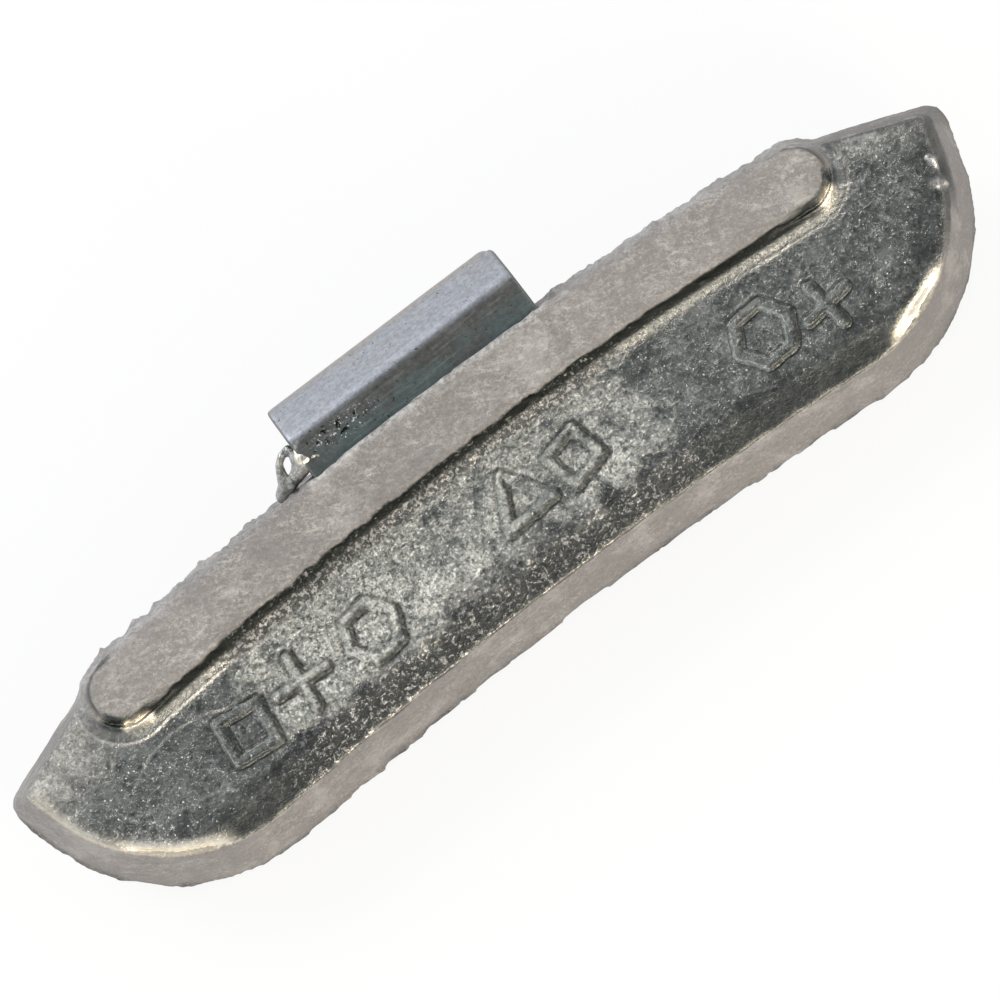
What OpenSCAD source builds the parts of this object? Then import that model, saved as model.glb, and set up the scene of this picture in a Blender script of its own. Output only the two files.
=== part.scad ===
// Clip-on balance weight for a car wheel: a zinc casting with a spring steel clip cast into it.
// Frame of the casting while it is drawn: X runs along the weight, Y points away from the wheel's
// axis and Z out of the wheel. The seat on the rim is Z = 0, and Y = 0 is the top of the ridge at
// mid length. Lengths are in millimetres and angles in degrees.

/* [Casting outline] */
// Radius from the wheel's axis to the top of the casting
wheel_r = 235; // [190:1:300]
// Height of the casting at mid length, measured at its back
cast_h = 15.1; // [13.5:0.1:16.5]
// Half length of the casting, to the end edge at the height end_y
end_x = 31.35; // [29:0.05:36]
// Height at which end_x is measured
end_y = -6.6; // [-8:0.1:-5.5]
// Lean of the end edges, inwards towards the bottom
end_lean = 17; // [10:0.5:22]
// Radius of the lower corners, at the back
corner_r = 10.9; // [8:0.1:12]
// Radius of the tips at the back
tip_r = 1.2; // [1:0.1:2]
// Radius that is left of them at the front face
tip_front_r = 0.3; // [0.1:0.05:0.9]
// Slope of the shoulders between the ridge and the tips
shoulder_slope = 21.4; // [15:0.2:26]
// Height of the shoulder line at three quarters of its way out
shoulder_y = -3.7; // [-4.5:0.1:-3]
// Place along the weight at which shoulder_y is measured
shoulder_x = 28.8; // [27.5:0.1:30]

/* [Casting section] */
// Thickness of the casting at its front panel
panel_t = 5; // [3.8:0.1:5.4]
// Draft of all side walls, for the die to open
draft = 14; // [10:0.5:17]
// Rounding of the panel's edge round the ends
edge_r = 0.5; // [0.2:0.05:0.8]
// Width of the shallow bevel along the panel's lower edge
bevel_w = 1.8; // [1:0.1:2.6]
// Depth of that bevel at the wall
bevel_drop = 0.4; // [0.2:0.05:0.7]

/* [Ridge] */
// Rise of the ridge above the panel
ridge_rise = 1.3; // [0.8:0.1:1.8]
// Width of the ridge's flat face
ridge_w = 3.4; // [2.8:0.1:4]
// Half length of the ridge's face
ridge_x = 24.4; // [22.5:0.1:25.5]
// Rounding of the ridge's face edge
ridge_edge_r = 0.25; // [0.1:0.05:0.5]
// Fillet between the ridge and the panel
ridge_fillet = 1.2; // [0.6:0.1:1.4]

/* [Rim seat] */
// Underside radius of the rim's curled edge, which the back of the ridge is hollowed for
curl_r = 3; // [2:0.1:3.6]
// Height of that curl's centre above the top of the casting
curl_y = 1.2; // [0.6:0.1:1.6]
// Distance of that centre behind the seat
curl_back = 0.8; // [0.4:0.1:1.4]

/* [Clip] */
// Width of the clip
clip_w = 15.1; // [12:0.1:18]
// Thickness of its strip
clip_t = 1.1; // [0.9:0.05:1.3]
// Zinc left in front of the clip where it leaves the ridge
clip_skin = 0.4; // [0.3:0.05:0.7]
// Height of the clip's crown above the top of the casting
crown_h = 3.5; // [3:0.1:4.5]
// Height at which the clip starts to fold back
fold_y = 0.2; // [-0.2:0.1:0.6]
// Angle of that fold
fold_turn = 50; // [40:1:60]
// Inner radius of the fold
fold_r = 0.35; // [0.2:0.05:0.6]
// Inner radius of the two crown bends
crown_r = 2; // [1.4:0.1:2.3]
// Gap for the rim's flange, between the seat and the tongue
flange_gap = 3; // [2.4:0.1:3.8]
// Lean of the tongue towards the casting, which makes it grip
tongue_lean = 5; // [0:0.5:8]
// Straight length of the tongue
tongue_len = 4.4; // [3:0.1:6]
// Outward turn of the tongue's lead-in lip
lip_turn = 20; // [10:1:30]
// Inner radius of the lip's bend
lip_r = 1; // [0.6:0.1:1.6]
// Length of the lip
lip_len = 1.3; // [0.8:0.1:2]
// Radius of the lip's two free corners
lip_corner_r = 1.2; // [0.3:0.1:1.8]

/* [Anchor in the zinc] */
// Depth below the top of the casting at which the anchor leaves the clip's upright
anchor_y = -2.3; // [-2.8:0.1:-2]
// Turn of the anchor away from the ridge's face
anchor_turn = 22; // [18:1:28]
// Inner radius of that bend
anchor_r = 1.2; // [0.8:0.1:1.6]
// Length of the anchor plate
anchor_len = 4.4; // [3.6:0.1:5]
// Diameter of the anchor's keying holes
key_d = 2.6; // [1.8:0.1:3]
// Distance between the two keying holes
key_pitch = 8; // [6:0.1:9]

/* [Hidden] */
$fn = 64;
ridge_z = panel_t + ridge_rise;
clip_z = ridge_z - clip_skin;

// Inset of a drafted wall at height z, and of the panel's edge behind its rounding
function inset(z) = z * tan(draft);
edge_in = inset(panel_t) + edge_r * tan(45 - draft / 2);

// Rounding of the corner b between the lines to a and c
function unit(v) = v / norm(v);
function corner_arc(a, b, c, r, n = 5) =
    let (u = unit(a - b), w = unit(c - b), half = acos(u * w) / 2,
         m = b + unit(u + w) * r / sin(half),
         s = b + u * r / tan(half) - m, e = b + w * r / tan(half) - m,
         from = atan2(s.y, s.x), sweep = sign(cross(s, e)) * (180 - 2 * half))
    [for (i = [0:n]) m + r * [cos(from + sweep * i / n), sin(from + sweep * i / n)]];

// Outline at the back: outward normals and distances of the end and shoulder lines
axis_pt = [0, -wheel_r];
bottom_r = wheel_r - cast_h;
end_n = [cos(end_lean), -sin(end_lean)];
end_d = end_n * [end_x, end_y];
shoulder_n = [sin(shoulder_slope), cos(shoulder_slope)];
shoulder_d = shoulder_n * [shoulder_x, shoulder_y];

// Lower corner: a circle that touches the bottom arc and the end line
corner_at = end_lean + asin((end_d - corner_r - end_n * axis_pt) / (bottom_r + corner_r));
corner_c = axis_pt + (bottom_r + corner_r) * [sin(corner_at), cos(corner_at)];

// Tip: a circle that touches the end and shoulder lines, and shrinks towards the front
tip_det = cross(end_n, shoulder_n);
function tip_r_at(t) = tip_r - (tip_r - tip_front_r) * t / edge_in;
function tip_c(t) =
    let (e = end_d - t - tip_r_at(t), s = shoulder_d - t - tip_r_at(t))
    [e * shoulder_n.y - s * end_n.y, s * end_n.x - e * shoulder_n.x] / tip_det;

// Wall of the plate: inset and height of each of its levels
wall = concat([[0, 0]], corner_arc([0, 0], [inset(panel_t), panel_t], [9, panel_t], edge_r, 4));

// Outline of the plate at the inset t: bottom arc, corner, tip, and the arc under the ridge's top
function fan(c, r, from, to, n) =
    [for (i = [0:n]) let (a = from + (to - from) * i / n) c + r * [cos(a), sin(a)]];
function half_outline(t) =
    let (top_r = wheel_r - 0.1 - t,
         top_at = shoulder_slope - acos((shoulder_d - t - shoulder_n * axis_pt) / top_r))
    concat(fan(axis_pt, bottom_r + t, 90, 90 - corner_at, 12),
           fan(corner_c, corner_r - t, -90 - corner_at + 5, -end_lean, 14),
           fan(tip_c(t), tip_r_at(t), -end_lean, 90 - shoulder_slope, 5),
           fan(axis_pt, top_r, 90 - top_at, 90, 12));
function outline(t) =
    let (h = half_outline(t), n = len(h))
    concat(h, [for (i = [n - 2:-1:1]) [-h[i].x, h[i].y]]);

// Ridge: half widths of its face and of its foot on the panel, and the circle of its middle line
face_half = ridge_w / 2;
foot_half = face_half + inset(ridge_rise);
ridge_r = wheel_r - inset(ridge_z) - face_half;
ridge_at = asin((ridge_x - face_half) / ridge_r);
ridge_span = 2 * ridge_at;

// Steps of the clip's strip: straight length, turn to the back and inner radius of the turn
fold_out = fold_r + clip_t;
crown_out = crown_r + clip_t;
facet_len = (crown_h - fold_y - fold_out * sin(fold_turn)
             - crown_out * (1 - sin(fold_turn))) / cos(fold_turn);
crown_z = clip_z - fold_out * (1 - cos(fold_turn)) - facet_len * sin(fold_turn)
          - crown_out * cos(fold_turn);
crown_flat = crown_z + flange_gap - crown_r;
clip_steps = [[anchor_len, anchor_turn, anchor_r],
              [fold_y - anchor_y, fold_turn, fold_r],
              [facet_len, 90 - fold_turn, crown_r],
              [crown_flat, 90 + tongue_lean, crown_r],
              [tongue_len, -lip_turn, lip_r],
              [lip_len, 0, 0]];

// The strip's outer face is followed from the anchor's foot, as places in Y and Z with a heading
function right_of(h) = [sin(h), -cos(h)];
function side_of(step) = step[1] > 0 ? step[2] + clip_t : -step[2];
anchor_out = anchor_r + clip_t;
foot = [anchor_y, clip_z - anchor_out] - anchor_out * right_of(anchor_turn)
       - anchor_len * [cos(anchor_turn), sin(anchor_turn)];

// Points of the strip's face at the depth o, with one point for each few degrees of a bend
function strip_face(o, p = foot, h = anchor_turn, i = 0) =
    i == len(clip_steps) ? [p + o * right_of(h)] :
    let (step = clip_steps[i], s = side_of(step), next = h - step[1],
         c = p + step[0] * [cos(h), sin(h)] + s * right_of(h), n = ceil(abs(step[1]) / 5))
    concat([p + o * right_of(h)],
           n == 0 ? [] : [for (k = [0:n - 1]) c - (s - o) * right_of(h - step[1] * k / n)],
           strip_face(o, step[1] == 0 ? p + step[0] * [cos(h), sin(h)] : c - s * right_of(next),
                      next, i + 1));
lip_at = lip_turn - tongue_lean - 180;

// Rest on the back: the tilt at which the clip and the lower edge both touch the ground
function touch_rounds(p = foot, h = anchor_turn, i = 0) =
    i == len(clip_steps) ? [[p.x, p.y, 0]] :
    let (step = clip_steps[i], q = p + step[0] * [cos(h), sin(h)], s = side_of(step),
         c = q + s * right_of(h), next = h - step[1])
    concat(s > 0 ? [[c.x, c.y, s]] : [],
           touch_rounds(step[1] == 0 ? q : c - s * right_of(next), next, i + 1));
low_y = corner_c.y - corner_r;
hook_rounds = touch_rounds();
lip_tip = hook_rounds[len(hook_rounds) - 1];
rest_tilt = max([for (c = hook_rounds) let (d = [c.x - low_y, c.y])
                 asin(c.z / norm(d)) - atan2(d.y, d.x)]);
bevel_z = panel_t - bevel_drop;
rest_front = (low_y + inset(bevel_z)) * cos(rest_tilt) - bevel_z * sin(rest_tilt);
rest_rear = max([for (c = hook_rounds) c.x * cos(rest_tilt) - c.y * sin(rest_tilt) + c.z]);

// Lays the weight on its back, with the middle of its footprint at the origin
module at_rest() {
    translate([0, -(rest_front + rest_rear) / 2, -low_y * sin(rest_tilt)])
        rotate([rest_tilt, 0, 0]) children();
}

// Moves a revolved piece from the wheel's axis, and starts its sweep so that it is centred
module about_wheel(span) {
    translate([axis_pt.x, axis_pt.y, 0]) rotate([0, 0, 90 - span / 2])
        rotate_extrude(angle = span, $fn = 720) children();
}

// Plate with drafted walls and a rounded front edge, lofted through its outline at each level
module outline_plate() {
    rings = [for (w = wall) outline(w.x)];
    n = len(rings[0]);
    last = len(wall) - 1;
    polyhedron(
        points = [for (k = [0:last]) for (p = rings[k]) [p.x, p.y, wall[k].y]],
        faces = concat(
            [[for (i = [0:n - 1]) i]],
            [for (k = [0:last - 1]) for (i = [0:n - 1]) let (j = (i + 1) % n)
                each [[k * n + i, (k + 1) * n + i, k * n + j],
                      [k * n + j, (k + 1) * n + i, (k + 1) * n + j]]],
            [[for (i = [n - 1:-1:0]) last * n + i]]));
}

// The plate with the bevel along its lower edge
module panel_plate() {
    difference() {
        outline_plate();
        about_wheel(20) bevel_section();
    }
}

module bevel_section() {
    slope = bevel_drop / bevel_w;
    start = bottom_r + inset(bevel_z) + bevel_w;
    polygon([[start + 1, panel_t + slope], [bottom_r - 3, panel_t - slope * (start - bottom_r + 3)],
             [bottom_r - 3, panel_t + slope]]);
}

// Section of the fillet at the ridge's foot: X is the distance from the ridge's middle line
module fillet_section() {
    arc = corner_arc([face_half, ridge_z], [foot_half, panel_t], [9, panel_t], ridge_fillet);
    polygon(concat([[arc[0].x - 0.6, arc[0].y]], arc,
                   [[arc[5].x, panel_t - 0.6], [arc[0].x - 0.6, panel_t - 0.6]]));
}

// Revolves a section about the middle of a ridge's end, between two directions
module ridge_end(from, to) {
    translate([axis_pt.x, axis_pt.y, 0]) rotate([0, 0, -ridge_at])
        translate([0, ridge_r, 0]) rotate([0, 0, from])
            rotate_extrude(angle = to - from) children();
}

module ridge_fillets() {
    difference() {
        union() {
            about_wheel(ridge_span) translate([ridge_r, 0]) mirror([1, 0]) fillet_section();
            ridge_end(-90, 50) fillet_section();
            mirror([1, 0, 0]) ridge_end(-90, 50) fillet_section();
        }
        beyond_shoulder();
        mirror([1, 0, 0]) beyond_shoulder();
    }
}

// What lies outside the drafted wall of a shoulder
module beyond_shoulder() {
    rotate([0, 0, 90 - shoulder_slope]) translate([shoulder_d, -45, 0])
        rotate([0, -draft, 0]) translate([0, 0, -2]) cube([12, 34, 12]);
}

// Half of the ridge's section: a drafted bar from the seat up to its flat face
module ridge_half() {
    back_half = face_half + inset(ridge_z);
    polygon(concat([[0, 0], [back_half, 0]],
                   corner_arc([back_half, 0], [face_half, ridge_z], [0, ridge_z], ridge_edge_r),
                   [[0, ridge_z]]));
}

module ridge_bar() {
    about_wheel(ridge_span) translate([ridge_r, 0]) {
        ridge_half();
        mirror([1, 0]) ridge_half();
    }
    ridge_end(-90, 90) ridge_half();
    mirror([1, 0, 0]) ridge_end(-90, 90) ridge_half();
}

module casting_solid() {
    difference() {
        union() {
            panel_plate();
            ridge_fillets();
            ridge_bar();
        }
        about_wheel(20) translate([wheel_r + curl_y, -curl_back]) circle(curl_r);
    }
}

// Bent strip with keying holes in its anchor and two rounded free corners
module clip_solid() {
    outer = strip_face(0);
    inner = strip_face(clip_t);
    translate([-clip_w / 2, 0, 0]) rotate([90, 0, 90]) difference() {
        linear_extrude(clip_w)
            polygon(concat(outer, [for (i = [len(inner) - 1:-1:0]) inner[i]]));
        for (s = [-1, 1]) translate([foot.x, foot.y, clip_w / 2 + s * key_pitch / 2])
            rotate([0, 0, anchor_turn]) translate([anchor_len / 2, 1, 0])
                rotate([90, 0, 0]) cylinder(d = key_d, h = clip_t + 2);
        translate([lip_tip.x, lip_tip.y, 0]) rotate([0, 0, lip_at]) {
            corner_cut(lip_corner_r);
            translate([0, 0, clip_w]) mirror([0, 0, 1]) corner_cut(lip_corner_r);
        }
    }
}

// What is taken off a free corner: X points out of the strip's end, Z across its width
module corner_cut(r) {
    difference() {
        translate([-r, -clip_t - 1, -1]) cube([r + 1, clip_t + 2, r + 1]);
        translate([-r, 2, r]) rotate([90, 0, 0]) cylinder(r = r, h = clip_t + 4);
    }
}

// Zinc casting, with the clip's anchor keyed into it
module cast_body() {
    color([0.62, 0.6, 0.59]) at_rest() difference() {
        casting_solid();
        clip_solid();
    }
}

// Spring steel clip that hooks over the rim's flange
module spring_clip() {
    color([0.5, 0.55, 0.6]) at_rest() clip_solid();
}

cast_body();
spring_clip();
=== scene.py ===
import math
from types import SimpleNamespace

import bmesh
import bpy
import numpy as np
from mathutils import Matrix, Vector


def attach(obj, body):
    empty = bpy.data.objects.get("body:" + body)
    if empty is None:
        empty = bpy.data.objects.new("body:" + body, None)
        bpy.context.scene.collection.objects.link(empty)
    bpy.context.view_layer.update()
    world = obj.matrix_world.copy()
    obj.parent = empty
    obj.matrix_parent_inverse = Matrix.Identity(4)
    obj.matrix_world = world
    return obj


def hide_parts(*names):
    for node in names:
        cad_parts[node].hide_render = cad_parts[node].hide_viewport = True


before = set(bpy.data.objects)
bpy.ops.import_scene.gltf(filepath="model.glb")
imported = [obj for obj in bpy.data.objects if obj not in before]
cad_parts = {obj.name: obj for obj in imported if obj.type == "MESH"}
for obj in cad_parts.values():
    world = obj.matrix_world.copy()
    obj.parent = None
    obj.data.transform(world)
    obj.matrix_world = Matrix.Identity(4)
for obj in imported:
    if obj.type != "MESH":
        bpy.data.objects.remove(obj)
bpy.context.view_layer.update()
print("frame: loaded the casting and the clip")

# The weight was drawn lying flat: X along it, Y away from the wheel's axis, Z out of the wheel,
# in millimetres. It rests tilted on its back, so its looks are worked out in the drawing frame.
rest = {"tilt": math.radians(21.859), "y": 5.82909, "z": 5.95873}

# Main sizes of the casting in that frame
form = {
    "axis": -235.0,          # where the wheel's axis lies along Y
    "bottomRadius": 219.9,   # lower edge, from the wheel's axis
    "endLean": 17.0, "endLine": 31.9098,
    "shoulderSlope": 21.4, "shoulderLine": 7.06354,
    "corner": (20.4093, -5.10415), "cornerRadius": 10.9,
    "draft": math.tan(math.radians(14)),
    "ridgeRadius": 231.729,  # middle line of the ridge, from the wheel's axis
    "ridgeTurn": math.radians(5.62166),
}


def toRest(points):
    c, s = math.cos(rest["tilt"]), math.sin(rest["tilt"])
    x, y, z = np.asarray(points, float).T
    return np.stack([x, y * c - z * s + rest["y"], y * s + z * c + rest["z"]], 1) / 1000


def toDrawing(points):
    c, s = math.cos(rest["tilt"]), math.sin(rest["tilt"])
    x, y, z = (np.asarray(points, float) * 1000 - [0, rest["y"], rest["z"]]).T
    return np.stack([x, y * c + z * s, -y * s + z * c], 1)


def turnToRest(direction):
    c, s = math.cos(rest["tilt"]), math.sin(rest["tilt"])
    x, y, z = direction
    return Vector((x, y * c - z * s, y * s + z * c))


# Value noise for shapes, the same each run: size is that of its lumps in millimetres
def latticeValue(i, j, k, seed):
    h = (i * 374761393 + j * 668265263 + k * 2147483647 + seed * 1274126177) & 0xFFFFFFFF
    h = ((h ^ (h >> 13)) * 1274126177) & 0xFFFFFFFF
    return ((h ^ (h >> 16)) & 0xFFFF) / 32767.5 - 1


def softNoise(points, size, seed):
    p = np.asarray(points, float) / size
    base = np.floor(p).astype(np.int64)
    f = p - base
    f = f * f * (3 - 2 * f)
    total = 0
    for dx in (0, 1):
        for dy in (0, 1):
            for dz in (0, 1):
                share = (np.abs(1 - dx - f[:, 0]) * np.abs(1 - dy - f[:, 1])
                         * np.abs(1 - dz - f[:, 2]))
                total = total + share * latticeValue(base[:, 0] + dx, base[:, 1] + dy,
                                                     base[:, 2] + dz, seed)
    return total


def roughNoise(points, size, seed, octaves=3):
    return sum(softNoise(points, size / 2 ** i, seed + i) / 2 ** i for i in range(octaves))


def rise(value, low, high):
    # 0 up to low, 1 from high on, and smooth between them
    t = np.clip((value - low) / (high - low), 0, 1)
    return t * t * (3 - 2 * t)


def band(value, at, width):
    # 1 where value is at, and less and less on both sides
    return np.exp(-((value - at) / width) ** 2)


# Distances on the casting, for every vertex at once
def ridgeDistance(p):
    turn = np.clip(np.arctan2(p[:, 0], p[:, 1] - form["axis"]), -form["ridgeTurn"],
                   form["ridgeTurn"])
    x = form["ridgeRadius"] * np.sin(turn)
    y = form["ridgeRadius"] * np.cos(turn) + form["axis"]
    return np.hypot(p[:, 0] - x, p[:, 1] - y), p[:, 1] - y


def edgeDepth(p):
    # How far a point lies inside the outline at the back: bottom, end, shoulder and corner
    x, y = np.abs(p[:, 0]), p[:, 1]
    lean, slope = math.radians(form["endLean"]), math.radians(form["shoulderSlope"])
    bottom = np.hypot(x, y - form["axis"]) - form["bottomRadius"]
    end = form["endLine"] - (math.cos(lean) * x - math.sin(lean) * y)
    shoulder = form["shoulderLine"] - (math.sin(slope) * x + math.cos(slope) * y)
    vx, vy = x - form["corner"][0], y - form["corner"][1]
    corner = form["cornerRadius"] - np.hypot(vx, vy)
    turn = np.degrees(np.arctan2(vy, vx))
    atCorner = (turn > -95) & (turn < -form["endLean"])
    low = np.minimum(bottom, end)
    return np.where(atCorner, np.minimum(low, corner), low), shoulder


def segmentDistance(p, a, b):
    a, b = np.array(a, float), np.array(b, float)
    d = b - a
    t = np.clip(((p[:, :2] - a) @ d) / (d @ d), 0, 1)
    return np.linalg.norm(p[:, :2] - a - t[:, None] * d, axis=1)


def pathDistance(p, path):
    return np.min([segmentDistance(p, a, b) for a, b in zip(path[:-1], path[1:])], axis=0)


# Raised casting marks: plain shapes, each a closed or open line of points round its centre
castMarks = {
    "stroke": 0.3,       # half width of a raised line
    "height": 0.17,
    "groove": 0.07,      # depth of the fine crease on its lower right side
    "shadeSide": (0.62, -0.78),
    "places": [("square", -18.6, -10.2, 1.7, -6), ("cross", -14.65, -9.8, 1.55, -4),
               ("hexagon", -10.0, -9.9, 1.6, 8), ("triangle", 0.55, -9.2, 1.8, 3),
               ("square", 4.3, -8.95, 1.55, 14), ("hexagon", 16.35, -9.9, 1.7, 4),
               ("cross", 20.0, -10.7, 1.35, 9)],
}

# Handling marks on the panel: fine scratches as lines of points, with their strength
fineScratches = [
    ([(-25.2, -8.9), (-23.6, -8.1), (-21.8, -7.8), (-19.8, -8.1), (-18.3, -8.8)], 0.8),
    ([(-26.9, -7.0), (-26.0, -7.6), (-25.5, -7.3)], 0.7),
    ([(-22.9, -11.6), (-21.6, -11.9), (-20.9, -11.5)], 0.5),
    ([(7.0, -10.9), (8.7, -12.0)], 0.6), ([(11.6, -6.6), (12.9, -7.9)], 0.6),
    ([(24.4, -6.1), (25.6, -6.6), (26.3, -6.2)], 0.7), ([(22.7, -7.7), (24.0, -7.3)], 0.6),
    ([(-6.0, -11.6), (-2.9, -12.2)], 0.5), ([(26.0, -4.2), (27.7, -4.9)], 0.6),
    ([(13.4, -11.9), (15.2, -12.6)], 0.5), ([(-12.4, -6.6), (-11.2, -7.9)], 0.5),
]


def markLines():
    lines = []
    for shape, cx, cy, r, turn in castMarks["places"]:
        a0 = math.radians(turn)
        if shape == "cross":
            rays = [(a0, a0 + math.pi), (a0 + math.pi / 2, a0 - math.pi / 2)]
            lines += [[(cx + r * math.cos(t), cy + r * math.sin(t)) for t in ray] for ray in rays]
            continue
        n = {"triangle": 3, "square": 4, "hexagon": 6}[shape]
        first = a0 + {"triangle": math.pi / 2, "square": math.pi / 4, "hexagon": 0}[shape]
        lines.append([(cx + r * math.cos(first + 2 * math.pi * i / n),
                       cy + r * math.sin(first + 2 * math.pi * i / n)) for i in range(n + 1)])
    return lines


def markDistance(p):
    return np.min([pathDistance(p, line) for line in markLines()], axis=0)


def markSide(p, near):
    # How far the nearest mark's side faces the lower right, from -1 to 1
    q, step = p[near], 0.06
    slope = [markDistance(q + off) - markDistance(q - off)
             for off in (np.array([step, 0, 0]), np.array([0, step, 0]))]
    size = np.maximum(np.hypot(*slope), 1e-6)
    side, towards = np.zeros(len(p)), castMarks["shadeSide"]
    side[near] = (slope[0] * towards[0] + slope[1] * towards[1]) / size
    return side


# Small chips where the edge was knocked and the metal stands up: two points and a radius
liftedChips = [((28.5, -8.95), (29.45, -9.75), 0.24), ((29.15, -7.75), (29.35, -8.5), 0.17),
               ((-26.6, -9.9), (-26.2, -10.5), 0.1), ((25.2, -8.6), (25.5, -9.3), 0.1)]


def chipShare(p):
    return np.max([band(segmentDistance(p, a, b), 0, r) * min(1, r * 5)
                   for a, b, r in liftedChips], axis=0)


def scratchShare(p):
    return np.max([strength * band(pathDistance(p, line), 0, 0.07)
                   for line, strength in fineScratches], axis=0)


# A copy of a CAD node as one even skin, in the drawing frame and in millimetres
def evenSkin(node, name, voxel, smoothing):
    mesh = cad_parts[node].data.copy()
    mesh.name = name
    flat = toDrawing(readPoints(mesh))
    mesh.vertices.foreach_set("co", flat.ravel().astype(np.float32))
    skin = bpy.data.objects.new(name, mesh)
    bpy.context.scene.collection.objects.link(skin)
    weld(mesh, 1e-4)
    joinAndSmooth(skin, voxel, smoothing)
    return skin


def joinAndSmooth(obj, voxel, smoothing):
    even = obj.modifiers.new("even", "REMESH")
    even.mode, even.voxel_size = "VOXEL", voxel
    applyModifiers(obj)
    soft = obj.modifiers.new("soft", "SMOOTH")
    soft.factor, soft.iterations = 0.5, smoothing
    applyModifiers(obj)


def weld(mesh, distance):
    bm = bmesh.new()
    bm.from_mesh(mesh)
    bmesh.ops.remove_doubles(bm, verts=bm.verts, dist=distance)
    bm.to_mesh(mesh)
    bm.free()


def applyModifiers(obj):
    bpy.context.view_layer.update()
    graph = bpy.context.evaluated_depsgraph_get()
    made = bpy.data.meshes.new_from_object(obj.evaluated_get(graph))
    old = obj.data
    obj.modifiers.clear()
    obj.data = made
    bpy.data.meshes.remove(old)
    made.name = obj.name


def thinOut(obj, where, ratio):
    # Fewer faces on plain hidden areas, so the front can have more
    group = obj.vertex_groups.new(name="plain")
    for i in np.nonzero(where(readPoints(obj.data)))[0]:
        group.add([int(i)], 1.0, "REPLACE")
    modifier = obj.modifiers.new("thin", "DECIMATE")
    modifier.ratio = ratio
    modifier.vertex_group = group.name
    modifier.vertex_group_factor = 10
    applyModifiers(obj)
    obj.vertex_groups.clear()


def readPoints(mesh):
    co = np.empty(len(mesh.vertices) * 3, np.float32)
    mesh.vertices.foreach_get("co", co)
    return co.reshape(-1, 3).astype(float)


def readNormals(mesh):
    n = np.empty(len(mesh.vertices) * 3, np.float32)
    mesh.vertex_normals.foreach_get("vector", n)
    return n.reshape(-1, 3).astype(float)


def refine(obj, near):
    # One more cut in the faces where near() holds
    bm = bmesh.new()
    bm.from_mesh(obj.data)
    centres = np.array([f.calc_center_median() for f in bm.faces], float)
    bm.faces.ensure_lookup_table()
    edges = {e for i in np.nonzero(near(centres))[0] for e in bm.faces[int(i)].edges}
    bmesh.ops.subdivide_edges(bm, edges=list(edges), cuts=1, use_grid_fill=True)
    bmesh.ops.triangulate(bm, faces=[f for f in bm.faces if len(f.verts) > 4])
    bm.to_mesh(obj.data)
    bm.free()


def setMask(mesh, name, values):
    layer = mesh.attributes.new(name, "FLOAT", "POINT")
    layer.data.foreach_set("value", np.clip(values, 0, 1).astype(np.float32))


aboveFloor = 0.000004        # metres from the floor to a piece's lowest point


def finishPiece(obj, p, node=None):
    q = toRest(p)
    q[:, 2] = np.maximum(q[:, 2], aboveFloor)
    obj.data.vertices.foreach_set("co", q.ravel().astype(np.float32))
    obj.data.polygons.foreach_set("use_smooth", np.ones(len(obj.data.polygons), bool))
    obj.data.update()
    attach(obj, "root")
    if node:
        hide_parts(node)
    print(f"{obj.name}: {len(obj.data.vertices)} points, {len(obj.data.polygons)} faces")


# Zinc casting: even skin of its solid, with marks, flash, rough skin, nicks and worn edges.
# The arcs come in along the first range of X and fade along the second.
castingLook = {
    "voxel": 0.158, "smoothing": 3,
    "plainKept": 0.62,       # share of the faces kept where nothing shows
    "wobble": 0.05,          # how unsteady the lines of the raised marks are
    "skinLumps": 0.05,       # height of the cast skin's lumps on the rough walls
    "sinks": 0.06,
    "panelWaves": 0.018,     # slow waves of the smooth panel
    "panelGrain": 0.006,
    "topRoughness": 0.156,   # torn look of the edge above the ridge
    "topCrests": 0.2, "topGrain": 0.1,
    "ridgeEdgeWear": (0.12, 0.04),     # at the left, and at the right
    "ridgeEdgeSteady": (3, 10),        # where it goes from one to the other
    "lowerEdgeWear": 0.12,
    "flash": 0.13,           # burr at the parting line along the back
    "flashFades": (22, 26),  # where it ends, towards the right
    "ledge": 0.05,           # step where the ridge's fillet ends on the panel
    "ledgeAt": 2.8,          # its distance from the ridge's middle line
    "ledgeBead": 0.02,
    "rolled": 0.34,          # how far the panel's edge is rolled over at the corners
    "rolledWidth": 0.42,
    "leftArc": ((22.0, 24.2), (26.8, 28.6)), "rightArc": ((21.2, 23.4), (24.3, 26.6)),
    "tipRim": 0.26, "tipArc": ((25, 27.5), (30, 31.2)),
    "zincAtClip": 0.07,
    "endSlope": 0.4,         # drop of the ridge's ends along their lower side
    "endCrease": 0.07, "endCreaseAt": 1.72,
    "chipHeight": 0.12, "scratchDepth": 0.03,
    # lumps, and nicks where the height is below zero: x, y, z, radius and height
    "knocks": [(-24.2, -2.7, 4.9, 0.8, 0.4), (29.75, -8.6, 4.6, 0.5, -0.55),
               (29.45, -7.8, 4.95, 0.35, 0.14), (29.95, -9.3, 4.4, 0.35, 0.1),
               (24.6, -1.3, 4.6, 0.7, 0.42), (25.3, -2.9, 5.0, 0.6, -0.16)],
    # where the rolled edge glints: two points and a width
    "glints": [((-23.6, -6.1), (-22.3, -6.4), 0.22), ((23.2, -6.35), (23.9, -5.95), 0.24)],
    # hollow behind the clip's anchor, which keeps its plain faces
    "hollow": {"half": 7.75, "floor": 1.0, "roof": 4.9, "bottom": -8.0, "inside": 3.0},
}


def plainAreas(c):
    x, y, z = c.T
    backFace = (z < 0.12) & (np.minimum(*edgeDepth(c)) > 0.7)
    behindClip = (np.abs(x) < 7.8) & (z > 1) & (z < 4.8) & (y < -0.9) & (y > -8)
    return backFace | behindClip


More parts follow.
